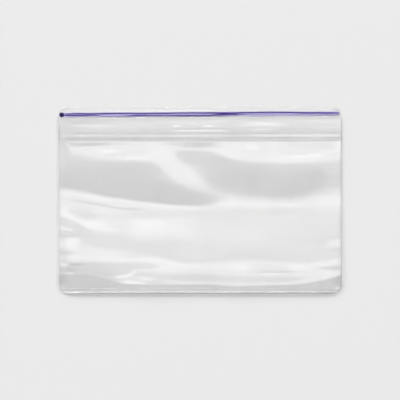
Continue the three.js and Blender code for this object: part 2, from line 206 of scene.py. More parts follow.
    (0.022, [(-84, 33.8), (-70, 33.9), (-60, 34.6), (-50, 35.6)], [(-84, 36.6), (-50, 36.6)],
     0.5, 0.3, -120, -56, 8),
    (-0.008, [(-60, 35.2), (-20, 34.8), (-10, 33)], [(-60, 36.5), (-10, 36.6)], 0.8, 0.3, -56, 10, 6),
    (0.024, [(-16, 33.4), (0, 33.4), (12, 34)], [(-16, 36.8), (12, 36.8)], 0.7, 0.5, -8, 9, 6),
    (-0.024, [(-14, 31.2), (-6, 31.4), (9, 31)], [(-14, 32), (-6, 32.4), (9, 32)], 0.4, 0.4, -12, 6, 4),
    # bright streaks of the upper swell
    (-0.12, [(-66, 30.2), (-52, 30.3)], [(-66, 31.4), (-52, 31.5)], 0.5, 0.5, -62, -55, 3),
    (0.03, [(-62, 27.9), (-54, 27.9)], [(-62, 28.9), (-54, 28.9)], 0.4, 0.4, -60, -56, 2),
    (-0.13, [(-52, 25.8), (-30, 26)], [(-52, 26.8), (-30, 27.3)], 0.5, 0.5, -48, -33, 4),
    (-0.14, [(-29, 30), (-27, 31.2), (-23, 33)], [(-29, 31.6), (-27, 33), (-23, 34.6)],
     0.5, 0.5, -28, -23.5, 1),
    (-0.046, [(-20, 13), (-10, 10.6), (0, 7.6)], [(-20, 23), (-14, 21), (-8, 16.6), (0, 11.6)],
     2, 2.2, -16, -5, 3),
    (-0.03, [(22, 28), (46, 28)], [(22, 36), (46, 36)], 1, 0.5, 25, 44, 3),
    (-0.13, [(29, 32.4), (36, 32.2), (39, 31)], [(29, 36.2), (35.4, 36), (39, 31.4)],
     0.3, 0.3, 30, 38.4, 0.5),
    (-0.02, [(29, 29.8), (37, 29.6)], [(29, 31.6), (35, 31.2), (38, 30)], 0.4, 0.3, 30.5, 37, 1),
    (-0.1, [(54, 27), (66, 26.5), (80, 28.2)], [(54, 28.1), (66, 28.6), (72, 29.4), (80, 29.6)],
     0.5, 0.5, 56, 77, 3),
    (-0.018, [(54, 33), (90, 33)], [(54, 35.4), (90, 35.6)], 1, 1, 56, 88, 5),
    # the bright upper edge of the long streak
    (-0.075, [(-90, 3.8), (-80, 2.9), (-70, 1.1), (-60, -0.7), (-50, -1.8), (-40, -2.9), (-30, -4.15),
      (-20, -5.3), (0, -6), (10, -4.4)],
     [(-90, 5.6), (-80, 4.6), (-70, 2.9), (-60, 0.9), (-50, -0.4), (-40, -1.5), (-30, -2.6), (-20, -3.8),
      (0, -4.4), (10, -2.8)], 0.5, 0.4, -88, 4, 4),
    (0.03, [(-86, 0.4), (-60, -4.3), (-50, -6), (-38, -6.6)],
     [(-86, 1.4), (-60, -3.2), (-50, -4.9), (-38, -5.6)], 0.4, 0.4, -80, -38, 4),
    (-0.058, [(10, -5), (30, -4.8), (60, -4.6), (90, -5)],
     [(10, -2.4), (20, -0.8), (40, -2), (60, -2), (90, 2)], 0.7, 0.7, 14, 120, 5),
    (-0.16, [(55, -4.7), (62, -4.6)], [(55, -2.6), (62, -2.5)], 0.5, 0.5, 57, 60, 2),
    (-0.058, [(68, -3), (90, -3.4)], [(68, -1.2), (90, 1)], 0.8, 0.8, 72, 86, 4),
    (-0.06, [(-87, 36.4), (-82, 32.4)], [(-87, 37.4), (-82, 33.6)], 0.4, 0.4, -86.4, -82.6, 0.7),
    # the film drops to the zip
    (-0.05, [(-90, 37.1), (-62, 36.9), (-50, 36.3), (-38, 35.6), (-22, 35.7)], [(-90, 40), (-22, 40)],
     0.25, 0.3, -80, -22, 5),
    (-0.045, [(20, 36.3), (40, 35.9), (90, 36.3)], [(20, 40), (90, 40)], 0.25, 0.3, 27, 120, 7),
    # ---- the header, from the clear zip to the mouth ----
    (0.034, [(-90, 37.2), (90, 37.2)], [(-90, 60.3), (90, 60.3)], 0.3, 1, -120, 120, 5),
    (0.012, [(-90, 45.3), (90, 45.3)], [(-90, 49.7), (0, 50.7), (90, 50.9)], 1.2, 0.8, -64, 120, 20),
    (-0.028, [(-86, 46.5), (-48, 46.6)], [(-86, 47.5), (-48, 47.3)], 0.4, 0.4, -80, -56, 6),
    (-0.036, [(24, 47.2), (60, 47)], [(24, 49.2), (40, 49.2), (60, 48.3)], 0.6, 0.4, 29, 50, 6),
    (-0.12, [(-19, 46.5), (-10, 46.5)], [(-19, 47.2), (-10, 47.2)], 0.25, 0.25, -17, -12.5, 1.5),
    (-0.12, [(1, 46.4), (15, 46.6)], [(1, 47.2), (15, 47.2)], 0.25, 0.25, 2, 8, 1.5),
    (-0.1, [(-24, 43.65), (24, 43.65)], [(-24, 44.25), (24, 44.3)], 0.25, 0.25, -16, 16, 5),
    (-0.018, [(30, 44.2), (46, 44.1)], [(30, 45), (46, 45)], 0.3, 0.3, 32, 44, 3),
    (0.03, [(-90, 44.7), (30, 45)], [(-90, 45.7), (30, 45.9)], 0.3, 0.3, -14, 12, 5),
    (0.03, [(-90, 51), (0, 51.2), (90, 51.5)], [(-90, 53.7), (90, 53.7)], 0.4, 0.5, -120, 30, 10),
    (0.03, [(-90, 51.1), (0, 51.3), (90, 51.3)], [(-90, 51.7), (0, 52), (90, 51.9)], 0.3, 0.3, -90, -62, 6),
    (0.03, [(-20, 51.2), (90, 51.3)], [(-20, 51.8), (90, 51.9)], 0.3, 0.3, -6, 16, 5),
    (-0.04, [(-90, 52.1), (0, 52.2)], [(-90, 53.1), (0, 53.1)], 0.3, 0.3, -64, -22, 10),
    (0.02, [(28, 50.3), (90, 49.7)], [(28, 50.8), (90, 50.3)], 0.3, 0.3, 30, 46, 4),
    (0.006, [(72, 45.3), (90, 45.3)], [(72, 46.9), (90, 46.9)], 0.4, 0.4, 74, 86, 4),
    (-0.02, [(72, 48.9), (90, 48.9)], [(72, 49.8), (90, 49.8)], 0.3, 0.3, 73, 88, 4),
    # over the clear zip: a thin dark line, a pale band and broken dark lines
    (0.14, [(-90, 41.8), (0, 41.8), (90, 41.9)], [(-90, 42.4), (0, 42.4), (90, 42.5)],
     0.25, 0.25, -78, 120, 8),
    (0.008, [(-90, 39.7), (90, 39.9)], [(-90, 41.7), (90, 41.8)], 0.35, 0.35, -80, 120, 4),
    (-0.022, [(20, 39.9), (90, 40)], [(20, 41.7), (90, 41.8)], 0.35, 0.35, 34, 120, 12),
    (-0.012, [(-28, 40.2), (20, 40.2)], [(-28, 41.2), (20, 41.2)], 0.35, 0.35, -20, 12, 6),
    (0.008, [(-86, 40.5), (-66, 40.5)], [(-86, 41.3), (-66, 41.3)], 0.3, 0.3, -78, -70, 4),
    (0.3, [(-84, 38.4), (-66, 38.6)], [(-84, 39.2), (-66, 39.2)], 0.3, 0.3, -81, -70, 3),
    (0.7, [(-85, 37.8), (-79, 38.6)], [(-85, 38.8), (-79, 39.7)], 0.3, 0.3, -84.2, -80, 0.6),
    (0.035, [(-86, 40.2), (-81, 41.2)], [(-86, 40.9), (-81, 41.9)], 0.3, 0.3, -85, -81.6, 0.6),
    (0.9, [(-62, 38.6), (-40, 38.7), (-10, 38.8)], [(-62, 39.2), (-40, 39.3), (-10, 39.4)],
     0.2, 0.2, -56, -17, 6),
    (0.9, [(8, 39.1), (60, 39.2), (90, 39.2)], [(8, 39.7), (60, 39.8), (90, 39.8)], 0.2, 0.2, 24, 64, 9),
    (0.5, [(78, 39.1), (90, 39.2)], [(78, 39.8), (90, 39.9)], 0.3, 0.3, 83, 120, 3),
    (0.038, [(-90, 37.8), (90, 38)], [(-90, 38.4), (90, 38.6)], 0.3, 0.3, -120, 120, 5),
    (-0.02, [(20, 38.5), (90, 38.6)], [(20, 39), (90, 39.1)], 0.15, 0.15, 24, 120, 6),
]

# Rows of points over the front film, closest where its facets are finest: (from, to, spacing) in Y
FRONT_ROWS = [
    (STRIP_Y + 0.08, -39, 0.3), (-39, -21, 0.6), (-21, 6, 0.33), (6, 24, 0.75), (24, 36, 0.34),
    (36, 44.8, 0.26), (44.8, LIP_DROP_Y - 0.2, 0.5),
]
NEAR_WELD = np.array([0, 0.3, 0.7, 1.2, 1.8, 2.6, 3.6, 4.8])  # columns of points, in from each weld
COLUMNS_BETWEEN = 151  # columns of points between those
BEND = 0.07  # rows this far before and after a sharp bend keep it sharp

# ---- The violet zip ----

VIOLET_UP = 0.15  # the strip and its ribs lie this much above UPPER_ZIP_Y
VIOLET_SLANT = 0.005  # slope of the strip, uphill to the right
FLANGE_Z, WEB_Z, RIB_Z, LUMP_Z = 0.26, 0.29, 0.31, 0.4
FLANGE_HALF, WEB_HALF = (1.56, 0.04), (0.95, 0.06)  # half the width and half the thickness
FLANGE_TAPER = 0.0012  # half its width lost per mm to the right
LUMP_AT = (-87.95, 54.05)  # middle of the melted lump
LUMP_HALF = (1.4, 1.5, 0.3)  # half its length, width and height

# (x, middle, half the width) along each rib. They're pressed unevenly, and the lower one fades out to the
# right.
UPPER_RIB = [
    (-90, 54.45, 0.22), (-83.5, 54.45, 0.28), (-79, 54.7, 0.36), (-74.6, 54.7, 0.34), (-70, 54.5, 0.36),
    (-65.7, 54.55, 0.42), (-61, 54.75, 0.42), (-52, 54.8, 0.42), (-44, 54.85, 0.4), (-39, 54.75, 0.38),
    (-30, 54.85, 0.4), (-25.7, 54.95, 0.36), (-21, 54.85, 0.4), (-17, 55, 0.38), (-8, 55.1, 0.38),
    (1, 55.1, 0.4), (5.4, 55.1, 0.42), (10, 55.1, 0.48), (14, 54.95, 0.58), (19, 54.95, 0.54),
    (23, 55.05, 0.52), (27.6, 55.3, 0.38), (32, 55.35, 0.38), (41, 55.5, 0.36), (50, 55.5, 0.4),
    (59, 55.4, 0.42), (63, 55.25, 0.46), (68, 55.15, 0.52), (76.5, 55.15, 0.56), (82, 55.1, 0.5),
    (86, 55.05, 0.38), (90, 54.95, 0.36),
]
LOWER_RIB = [
    (-90, 53.5, 0.26), (-83.5, 53.5, 0.38), (-79, 53.5, 0.4), (-74.6, 53.5, 0.42), (-70, 53.65, 0.34),
    (-65.7, 53.45, 0.18), (-61, 52.95, 0.12), (-52, 53, 0.15), (-48, 53.1, 0.18), (-43.5, 53.35, 0.34),
    (-39, 53.5, 0.42), (-34.6, 53.5, 0.38), (-30, 53.4, 0.26), (-25.7, 53.45, 0.3), (-21, 53.4, 0.24),
    (-17, 53.45, 0.36), (-8, 53.45, 0.4), (1, 53.45, 0.36), (5.4, 53.5, 0.38), (10, 53.8, 0.44),
    (14, 53.95, 0.42), (19, 53.9, 0.38), (23, 53.95, 0.32), (27.6, 54, 0.14), (32, 53.9, 0.06),
    (41, 53.9, 0.08), (90, 53.7, 0.06),
]


# ---- Form of the film ----

def smooth(a, b, x):
    """From 0 at a to 1 at b, level at both ends."""
    t = np.clip((x - a) / (b - a), 0, 1)
    return t * t * (3 - 2 * t)


def rise(distance, reach):
    """From 0 at an edge to 1 at reach from it, steepest at the edge, as film does over air."""
    steepness = 2.2
    return 1 - (1 - np.clip(distance / reach, 0, 1)) ** steepness


def through(points, x):
    """A smooth curve y(x) through points given in order of x."""
    px, py = np.array(points, float).T
    if len(px) == 2:
        return np.interp(x, px, py)  # a straight line
    slopes = np.empty_like(px)
    slopes[1:-1] = (py[2:] - py[:-2]) / (px[2:] - px[:-2])
    slopes[0] = (py[1] - py[0]) / (px[1] - px[0])
    slopes[-1] = (py[-1] - py[-2]) / (px[-1] - px[-2])
    i = np.clip(np.searchsorted(px, x, side="left") - 1, 0, len(px) - 2)
    span = px[i + 1] - px[i]
    t = np.clip((x - px[i]) / span, 0, 1)
    bend = (1 - t) ** 2 * t * span * slopes[i] - t * t * (1 - t) * span * slopes[i + 1]
    return py[i] + (py[i + 1] - py[i]) * t * t * (3 - 2 * t) + bend


def tilt_at(x, y):
    """Slope of the front film along Y, from the facets."""
    tilt = np.full_like(x, PLATEAU_TILT)
    for value, lower, upper, blur_below, blur_above, start, end, fade in FACETS:
        above = smooth(-blur_below, blur_below, y - through(lower, x))
        below = 1 - smooth(-blur_above, blur_above, y - through(upper, x))
        along = smooth(start - fade, start + fade, x) * (1 - smooth(end - fade, end + fade, x))
        tilt = tilt + (value - tilt) * above * below * along
    return tilt


def uneven(x, y, long_mm, short_mm, seed):
    """Smooth unevenness between -1 and 1, drawn out along X as film is when it's made."""
    size, middle = 160, 60
    lattice = np.random.default_rng(seed).uniform(-1, 1, (size, size))
    u, v = x / long_mm + middle, y / short_mm + middle
    i, j = np.floor(u).astype(int), np.floor(v).astype(int)
    s, t = u - i, v - j
    s, t = (w * w * w * (w * (w * 6 - 15) + 10) for w in (s, t))  # level at the lattice's points
    i, j = i % (size - 1), j % (size - 1)
    low = lattice[i, j] * (1 - s) + lattice[i + 1, j] * s
    high = lattice[i, j + 1] * (1 - s) + lattice[i + 1, j + 1] * s
    return low * (1 - t) + high * t


def corner_cut(distance, r):
    """How far a corner of radius r takes the edge in, at a distance from the corner's other edge."""
    inside = np.clip(r - distance, 0, r)
    return r - np.sqrt(r * r - inside * inside)


def in_header(y, over):
    """0 in the pouch and 1 in the header, changing over a length below the clear zip."""
    return smooth(POUCH_TOP_Y - over, POUCH_TOP_Y, y)


def half_width(y):
    """Half the width of the bag over its side welds."""
    drawn_in = SIDE_PULL * (1 - in_header(y, over=7))
    corners = corner_cut(y - FOLD_Y, CORNER_R) + corner_cut(BACK_LIP_Y - y, LIP_CORNER_R)
    return HALF - drawn_in - corners


def by_side(values, x):
    """The left or the right one of two values."""
    return np.where(x > 0, values[1], values[0])


def slanted(x, y):
    """Y of a point of the film. The front lip runs slightly uphill to the right, between a level clear zip
    and a level back lip."""
    below = smooth(FREE_LIP_Y, FRONT_LIP_Y, y)
    above = 1 - smooth(LIP_CURL_FROM, BACK_LIP_Y, y)
    return y + SLANT * (x / HALF) * below * above


def lean_to(tilt, step, share, target):
    """Steepens or eases the rising facets where share is 1, so that the film climbs by target over them."""
    least_room, most_eased, most_steepened = 0.2, -0.6, 8
    rising = np.maximum(tilt - EASY_TILT, 0) * share
    climb = (tilt * share * step).sum(0)
    room = (rising * step).sum(0)
    gain = np.clip((target - climb) / np.maximum(room, least_room), most_eased, most_steepened)
    return tilt + gain * rising


def fold_height(x):
    """Height of the front film along the bottom fold."""
    return FOLD_Z - (FOLD_Z - FOLD_END_Z) * (1 - rise(HALF - np.abs(x), FOLD_END))


class Film:
    """Heights of both films, from the facets' tilts summed up from the bottom fold."""

    def __init__(self):
        rows = 620
        self.across = film_columns()
        self.y = np.linspace(STRIP_Y, FRONT_LIP_Y, rows)
        step = self.y[1] - self.y[0]
        y = np.repeat(self.y[:, None], len(self.across), 1)
        x = self.across[None, :] * half_width(self.y)[:, None]
        ripple = 0.012 * uneven(x, y, long_mm=30, short_mm=5, seed=7)
        fine_ripple = 0.006 * uneven(x, y, long_mm=12, short_mm=1.2, seed=8)
        tilt = tilt_at(x, y) + ripple + fine_ripple
        streak = through(STREAK_Y, x)
        pouch = 1 - in_header(y, over=0.2)
        low = 1 - smooth(-1, 1, y - streak)
        streak_z = STREAK_Z + END_LIFT * smooth(*END_LIFT_X, x[:1])
        tilt = lean_to(tilt, step, low, streak_z - fold_height(x[:1]))
        tilt = lean_to(tilt, step, pouch * (1 - low), ZIPPED_T - STREAK_Z)
        self.z = fold_height(x[:1]) + np.cumsum(tilt, 0) * step

    def inner(self, x, y):
        """Height of the front film as it is away from the side welds."""
        u = np.interp(x / half_width(y), self.across, np.arange(len(self.across)))
        v = np.interp(y, self.y, np.arange(len(self.y)))
        i = np.clip(u.astype(int), 0, len(self.across) - 2)
        j = np.clip(v.astype(int), 0, len(self.y) - 2)
        s, t = u - i, v - j
        low = self.z[j, i] * (1 - s) + self.z[j, i + 1] * s
        high = self.z[j + 1, i] * (1 - s) + self.z[j + 1, i + 1] * s
        return low * (1 - t) + high * t

    def seam(self, x, y):
        """Height of the nearest side weld. It follows the swells of the film beside it in part."""
        beside = self.inner(np.sign(x) * (half_width(y) - BESIDE_WELD), y)
        level = by_side(WELD_Z, x) + by_side(WELD_FOLLOWS, x) * (beside - ZIPPED_T)
        in_corner = WELD_CORNER_SHARE * (1 - smooth(FOLD_Y, FOLD_Y + WELD_CORNER_LENGTH, y))
        level = level + (WELD_CORNER_Z - level) * in_corner
        header = WELD_HEADER_Z - WELD_LIP_DROP * smooth(FREE_LIP_Y, FRONT_LIP_Y, y)
        share = in_header(y, over=4)
        return level * (1 - share) + header * share

    def front(self, x, y):
        """Height of the front film's upper face."""
        side = half_width(y) - np.abs(x)
        shorter = FRONT_SHORTER * in_header(y, over=6)
        seam = self.seam(x, y) + WELD_T / 2
        strip = STRIP_TILT * np.minimum(y - STRIP_Y, 0)
        z = seam + (self.inner(x, y) + strip - seam) * rise(side, by_side(FRONT_REACH, x) * (1 - shorter))
        return z + (LIP_END_Z - z) * np.clip((y - LIP_DROP_Y) / (FRONT_LIP_Y - LIP_DROP_Y), 0, 1)

    def back(self, x, y):
        """Height of the back film, which lies on the table between the welds."""
        side = half_width(y) - np.abs(x)
        shorter = BACK_SHORTER * in_header(y, over=6)
        seam = self.seam(x, y) - WELD_T / 2
        top = fold_height(x) - FOLD_T - TABLE_GAP
        drop = np.maximum(top - (y - STRIP_Y) * FOLD_Z / BACK_DROP, 0)
        fold = np.where(y > STRIP_Y, drop, top)
        eased = LIP_CURL_EASED * smooth(*LIP_CURL_EASES_X, x) * (1 - smooth(*LIP_CURL_BACK_X, x))
        eased = eased * smooth(LIP_CURL_FROM - 0.2, LIP_CURL_FROM + 0.9, y)
        curl = LIP_CURL_RISE * smooth(UPPER_ZIP_Y - 2, UPPER_ZIP_Y, y) * (1 - eased)
        flat = TABLE_GAP + fold + curl
        at_weld = 1 - rise(side, by_side(BACK_REACH, x) * (1 - shorter))
        return flat + (np.maximum(seam, flat) - flat) * at_weld


# ---- Meshes ----

def piece_from(name, points, faces, material, slot):
    """A named piece with smooth faces that rides with the bag."""
    mesh = bpy.data.meshes.new(name)
    mesh.from_pydata((np.asarray(points) * MM).tolist(), [], faces)
    mesh.validate()
    mesh.polygons.foreach_set("use_smooth", [True] * len(mesh.polygons))
    mesh.materials.append(material)
    piece = bpy.data.objects.new(name, mesh)
    bpy.context.scene.collection.objects.link(piece)
    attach(piece, "root")
    return piece


def grid_faces(rows, columns, closed=False):
    """Quads over rows of points. With closed, the last column joins the first."""
    steps = columns if closed else columns - 1
    faces = []
    for i in range(rows - 1):
        for j in range(steps):
            a, b = i * columns + j, i * columns + (j + 1) % columns
            faces.append((a, a + columns, b + columns, b))
    return faces


def thin_wall(piece, thickness):
    """Gives a sheet its thickness, downwards from its modelled face."""
    wall = piece.modifiers.new("wall", "SOLIDIFY")
    wall.thickness = thickness * MM
    wall.offset = -1


def film_columns():
    """Places of the columns of points across the film, as shares of half its width."""
    between = np.linspace(-HALF + BESIDE_WELD, HALF - BESIDE_WELD, COLUMNS_BETWEEN)
    return np.concatenate([-HALF + NEAR_WELD, between, (HALF - NEAR_WELD)[::-1]]) / HALF


def make_front_film(film, material):
    """The front film: from the fold over the trapped air, the clear zip and the header to the front lip."""
    columns = film.across
    rows = []
    for y in np.concatenate([
        [FOLD_Y + FOLD_TURN, STRIP_Y - 0.8, STRIP_Y - 0.06, STRIP_Y],  # over the fold
        *[np.arange(*span) for span in FRONT_ROWS],
        [LIP_DROP_Y - BEND, LIP_DROP_Y, LIP_DROP_Y + BEND],  # the lip's bend
        np.linspace(LIP_DROP_Y + 0.2, FRONT_LIP_Y, 4),
    ]):
        x = columns * half_width(y)
        rows.append(np.stack([x, slanted(x, y), film.front(x, np.full_like(x, y))], 1))
    faces = grid_faces(len(rows), len(columns))
    piece = piece_from("front_film", np.concatenate(rows), faces, material, "film")
    thin_wall(piece, FILM_T)
    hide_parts("film_bag")


def make_back_film(film, material):
    """The back film: from the front film's lower end round the fold to the back lip."""
    columns = film.across[::2]
    rows = []
    start = FOLD_Y + FOLD_TURN
    for turn in np.linspace(0, math.pi, 9)[:-1]:
        x = columns * half_width(start)
        at_strip = np.full_like(x, STRIP_Y)
        top, low = film.front(x, at_strip), film.back(x, at_strip)
        middle, half = (top + low) / 2, (top - low) / 2
        rows.append(np.stack([x, start - FOLD_TURN * np.sin(turn) + 0 * x, middle + half * np.cos(turn)], 1))
    for y in np.concatenate([
        [start, start + 0.03, STRIP_Y - 0.3, STRIP_Y - 0.03, STRIP_Y],  # under the fold
        np.linspace(STRIP_Y + 0.06, STRIP_Y + BACK_DROP, 9),  # down to the table
        np.linspace(STRIP_Y + BACK_DROP + 1.5, POUCH_TOP_Y - 8, 40),  # flat under the pouch
        np.linspace(POUCH_TOP_Y - 6, LIP_CURL_FROM, 14),  # under the header
        np.linspace(LIP_CURL_FROM + 0.4, BACK_LIP_Y, 8),  # the free back lip
    ]):
        x = columns * half_width(y)
        rows.append(np.stack([x, slanted(x, y), film.back(x, np.full_like(x, y))], 1))
    faces = [face[::-1] for face in grid_faces(len(rows), len(columns))]
    piece = piece_from("back_film", np.concatenate(rows), faces, material, "film")
    thin_wall(piece, FILM_T)
    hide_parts("film_bag")


def ends_taken_in(count, over, least):
    """1 along a row of count points, and less towards both ends."""
    from_start = np.arange(count) + 1
    return np.clip(np.minimum(from_start, from_start[::-1]) / over, least, 1)


def tube(path, radii, sides):
    """Rings round a path of points, flattened to [across, up] radii at each point, with closed ends."""
    path, radii = np.asarray(path, float), np.asarray(radii, float)
    along = np.gradient(path, axis=0)
    along /= np.linalg.norm(along, axis=1, keepdims=True)
    across = np.cross(along, [0, 0, 1.0])
    across /= np.linalg.norm(across, axis=1, keepdims=True)
    up = np.cross(across, along)
    turns = np.linspace(0, 2 * math.pi, sides, endpoint=False)
    rings = (path[:, None] + across[:, None] * (radii[:, :1] * np.cos(turns))[..., None]
             + up[:, None] * (radii[:, 1:] * np.sin(turns))[..., None])
    points = rings.reshape(-1, 3)
    faces = grid_faces(len(path), sides, closed=True)
    faces.append(tuple(range(sides))[::-1])
    faces.append(tuple(len(points) - sides + k for k in range(sides)))
    return points, faces


def make_side_weld(name, side, out, size, film, material):
    """The bead that the hot knife leaves where it welds and cuts the side. Its grey finish also paints shade
    along the bag's edge, darker on the right, the side away from the light.

    side is -1 or 1, out is how far the bead's middle lies outside the film's edge, and size is half its
    width and half its height.
    """
    turn = np.linspace(0.35, math.pi / 2, 14)  # most of the way round the corner at the fold
    y = np.concatenate([
        FOLD_Y + CORNER_R * (1 - np.cos(turn)), np.linspace(FOLD_Y + CORNER_R + 1, FRONT_LIP_Y, 120)])
    x = side * (half_width(y) + out)
    z = film.seam(x, np.maximum(y, STRIP_Y))
    wander = 0.06 * uneven(y, y, long_mm=9, short_mm=9, seed=12 if side > 0 else 13)
    slant = SLANT * side * smooth(FREE_LIP_Y, FRONT_LIP_Y, y)
    path = np.stack([x + wander, y + slant, z], 1)
    swell = 1 + 0.15 * uneven(y, y, long_mm=5, short_mm=5, seed=14)
    swell = swell * ends_taken_in(len(y), over=4, least=0.2)
    piece_from(name, *tube(path, np.outer(swell, size), sides=28), material, "film")


def make_fold_crease(material):
    """The hard crease of the bottom fold, where both films are pressed on each other. Its dark grey finish
    also paints the contact shade along and just outside the fold's edge.
    """
    short_of_sides, inside, half_size = 3.5, 0.12, (0.42, 0.13)
    x = np.linspace(-HALF + short_of_sides, HALF - short_of_sides, 160)
    wander = 0.03 * uneven(x, x * 0, long_mm=14, short_mm=1, seed=17)
    y = FOLD_Y + corner_cut(HALF - np.abs(x), CORNER_R) + inside + wander
    path = np.stack([x, y, fold_height(x) - FOLD_T / 2], 1)
    radii = np.outer(ends_taken_in(len(x), over=5, least=0.2), half_size)
    piece_from("fold_crease", *tube(path, radii, sides=24), material, "film")


def make_violet_zip(pale, deep, flange_and_shadow_tint, melted):
    """The coloured closing strip: two ribs joined by a thinner, paler web, melted to a lump at its left end,
    on a pale violet flange that joins it to the film. The flange's violet also paints a violet tint into
    the strip's shadow."""
    left_end, right_end = [-89.6, -89.2, -88.4], [88.2, 88.9]
    x = np.concatenate([left_end, np.linspace(-87.4, 87.4, 230), right_end])
    full = ends_taken_in(len(x), over=3, least=0.3)
    wander = 0.05 * uneven(x, x * 0, long_mm=30, short_mm=1, seed=22)
    line = UPPER_ZIP_Y + VIOLET_UP + VIOLET_SLANT * x + wander
    pieces = []

    def add(name, path, radii, sides, material):
        """A piece along a path of x, y and z, with its radii across and up."""
        points = np.stack([path[0], path[1], path[2] + 0 * path[0]], 1)
        pieces.append(piece_from(name, *tube(points, np.stack(radii, 1), sides), material, "violet_zip"))

    # the flange's pale violet also paints a violet tint into the strip's shadow
    wide, thick = FLANGE_HALF
    wide = wide - FLANGE_TAPER * x
    add("violet_zip_flange", (x, line, FLANGE_Z), (wide * full, thick * full), sides=28, material=flange_and_shadow_tint)
    wide, thick = WEB_HALF
    add("violet_zip_web", (x, line, WEB_Z), (wide * full, thick * full), sides=28, material=pale)
    ribs = (("violet_zip_upper_rib", UPPER_RIB, 24), ("violet_zip_lower_rib", LOWER_RIB, 25))
    for name, rib, seed in ribs:
        points = np.array(rib)
        middle, wide = through(points[:, :2], x), through(points[:, ::2], x)
        wide = wide * (0.93 + 0.12 * uneven(x, x * 0, long_mm=7, short_mm=1, seed=seed))
        wander = 0.03 * uneven(x, x * 0, long_mm=9, short_mm=1, seed=seed + 4)
        thick = 0.05 + wide * 0.14
        path = (x, middle + VIOLET_UP + wander, RIB_Z)
        add(name, path, (wide * full, thick * full), sides=16, material=deep)
    turn = np.linspace(-1, 1, 17)
    lump = np.sqrt(np.maximum(1 - turn ** 2, 0.02)) * (1 + 0.06 * turn)
    long, wide, high = LUMP_HALF
    path = (LUMP_AT[0] + long * turn, LUMP_AT[1] + 0.1 * turn, LUMP_Z)
    add("violet_zip_melted_end", path, (wide * lump, high * lump), sides=24, material=melted)
    for piece in pieces:
        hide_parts("upper_zip_channel", "upper_zip_rib")


def make_speck(name, at, size, film, material):
    """A small speck lying on the film. size is half its length and half its width."""
    x, y = at
    turn = np.linspace(-1, 1, 9)
    lump = np.sqrt(np.maximum(1 - turn ** 2, 0.05)) * (1 + 0.2 * turn)
    z = film.front(x, np.array([y])) + FILM_T
    path = np.stack([x + size[0] * turn, y + 0.08 * turn ** 2, z + 0 * turn], 1)
    radii = np.stack([size[1] * lump, 0.7 * size[1] * lump], 1)
    piece_from(name, *tube(path, radii, sides=8), material, "film")


# ---- Materials ----

def node(tree, kind, at, sockets=None, **settings):
    """A new node at a place in the tree, with its settings and the values of its sockets."""
    made = tree.nodes.new(kind)
    made.location = at
    for key, value in settings.items():
        setattr(made, key, value)
    for key, value in (sockets or {}).items():
        made.inputs[key].default_value = value
    return made


def new_group(name, inputs, outputs):
    """A new node group of number sockets, with its first and its last node."""
    group = bpy.data.node_groups.new(name, "ShaderNodeTree")
    for socket_name, value in inputs.items():
        socket = group.interface.new_socket(socket_name, in_out="INPUT", socket_type="NodeSocketFloat")
        socket.default_value = value
    for socket_name in outputs:
        group.interface.new_socket(socket_name, in_out="OUTPUT", socket_type="NodeSocketFloat")
    return group, node(group, "NodeGroupInput", (-900, 0)), node(group, "NodeGroupOutput", (500, 0))


def film_clarity_group():
    """How much of the light one face of clear plastic stops: little head on, more at a glance."""
    inputs = {"Facing": 0.0, "Head On": 0.045, "Body": 0.0, "Glance": 0.9}
    group, enter, leave = new_group("film_clarity", inputs, ["Alpha"])
    fifth = node(group, "ShaderNodeMath", (-400, 100), {1: 5.0}, operation="POWER")
    least = node(group, "ShaderNodeMath", (-400, -100), operation="ADD")
    glance = node(group, "ShaderNodeMath", (-200, 100), operation="MULTIPLY")
    total = node(group, "ShaderNodeMath", (0, 0), operation="ADD", use_clamp=True)
    link = group.links.new
    link(enter.outputs["Facing"], fifth.inputs[0])
    link(enter.outputs["Head On"], least.inputs[0])
    link(enter.outputs["Body"], least.inputs[1])
    link(fifth.outputs[0], glance.inputs[0])
    link(enter.outputs["Glance"], glance.inputs[1])
    link(glance.outputs[0], total.inputs[0])
    link(least.outputs[0], total.inputs[1])
    link(total.outputs[0], leave.inputs["Alpha"])
    return group


def drawn_plastic_group():
    """Faint lines along X, as plastic has from being drawn through a slot, and soft dull patches."""
    inputs = {"Lines Per mm": 1.2, "Length mm": 30.0}
    group, enter, leave = new_group("drawn_plastic", inputs, ["Height", "Dull"])
    place = node(group, "ShaderNodeTexCoord", (-900, -300))
    axes = node(group, "ShaderNodeSeparateXYZ", (-700, -300))
    metres = node(group, "ShaderNodeMath", (-700, -100), {1: MM}, operation="MULTIPLY")
    along = node(group, "ShaderNodeMath", (-500, -100), operation="DIVIDE")
    per_metre = node(group, "ShaderNodeMath", (-700, -500), {1: 1 / MM}, operation="MULTIPLY")
    across = node(group, "ShaderNodeMath", (-500, -300), operation="MULTIPLY")
    drawn = node(group, "ShaderNodeCombineXYZ", (-300, -200))
    lines = node(group, "ShaderNodeTexNoise", (-100, 0), {"Scale": 1.0, "Detail": 3.0})
    clouds = node(group, "ShaderNodeTexNoise", (-100, -300), {"Scale": 60.0, "Detail": 2.0})
    dull = node(group, "ShaderNodeMapRange", (200, -300), {"From Min": 0.42, "From Max": 0.7})
    link = group.links.new
    link(place.outputs["Object"], axes.inputs[0])
    link(enter.outputs["Length mm"], metres.inputs[0])
    link(axes.outputs["X"], along.inputs[0])
    link(metres.outputs[0], along.inputs[1])
    link(enter.outputs["Lines Per mm"], per_metre.inputs[0])
    link(axes.outputs["Y"], across.inputs[0])
    link(per_metre.outputs[0], across.inputs[1])
    link(along.outputs[0], drawn.inputs["X"])
    link(across.outputs[0], drawn.inputs["Y"])
    link(drawn.outputs[0], lines.inputs["Vector"])
    link(place.outputs["Object"], clouds.inputs["Vector"])
    link(clouds.outputs[0], dull.inputs[0])
    link(lines.outputs[0], leave.inputs["Height"])
    link(dull.outputs[0], leave.inputs["Dull"])
    return group


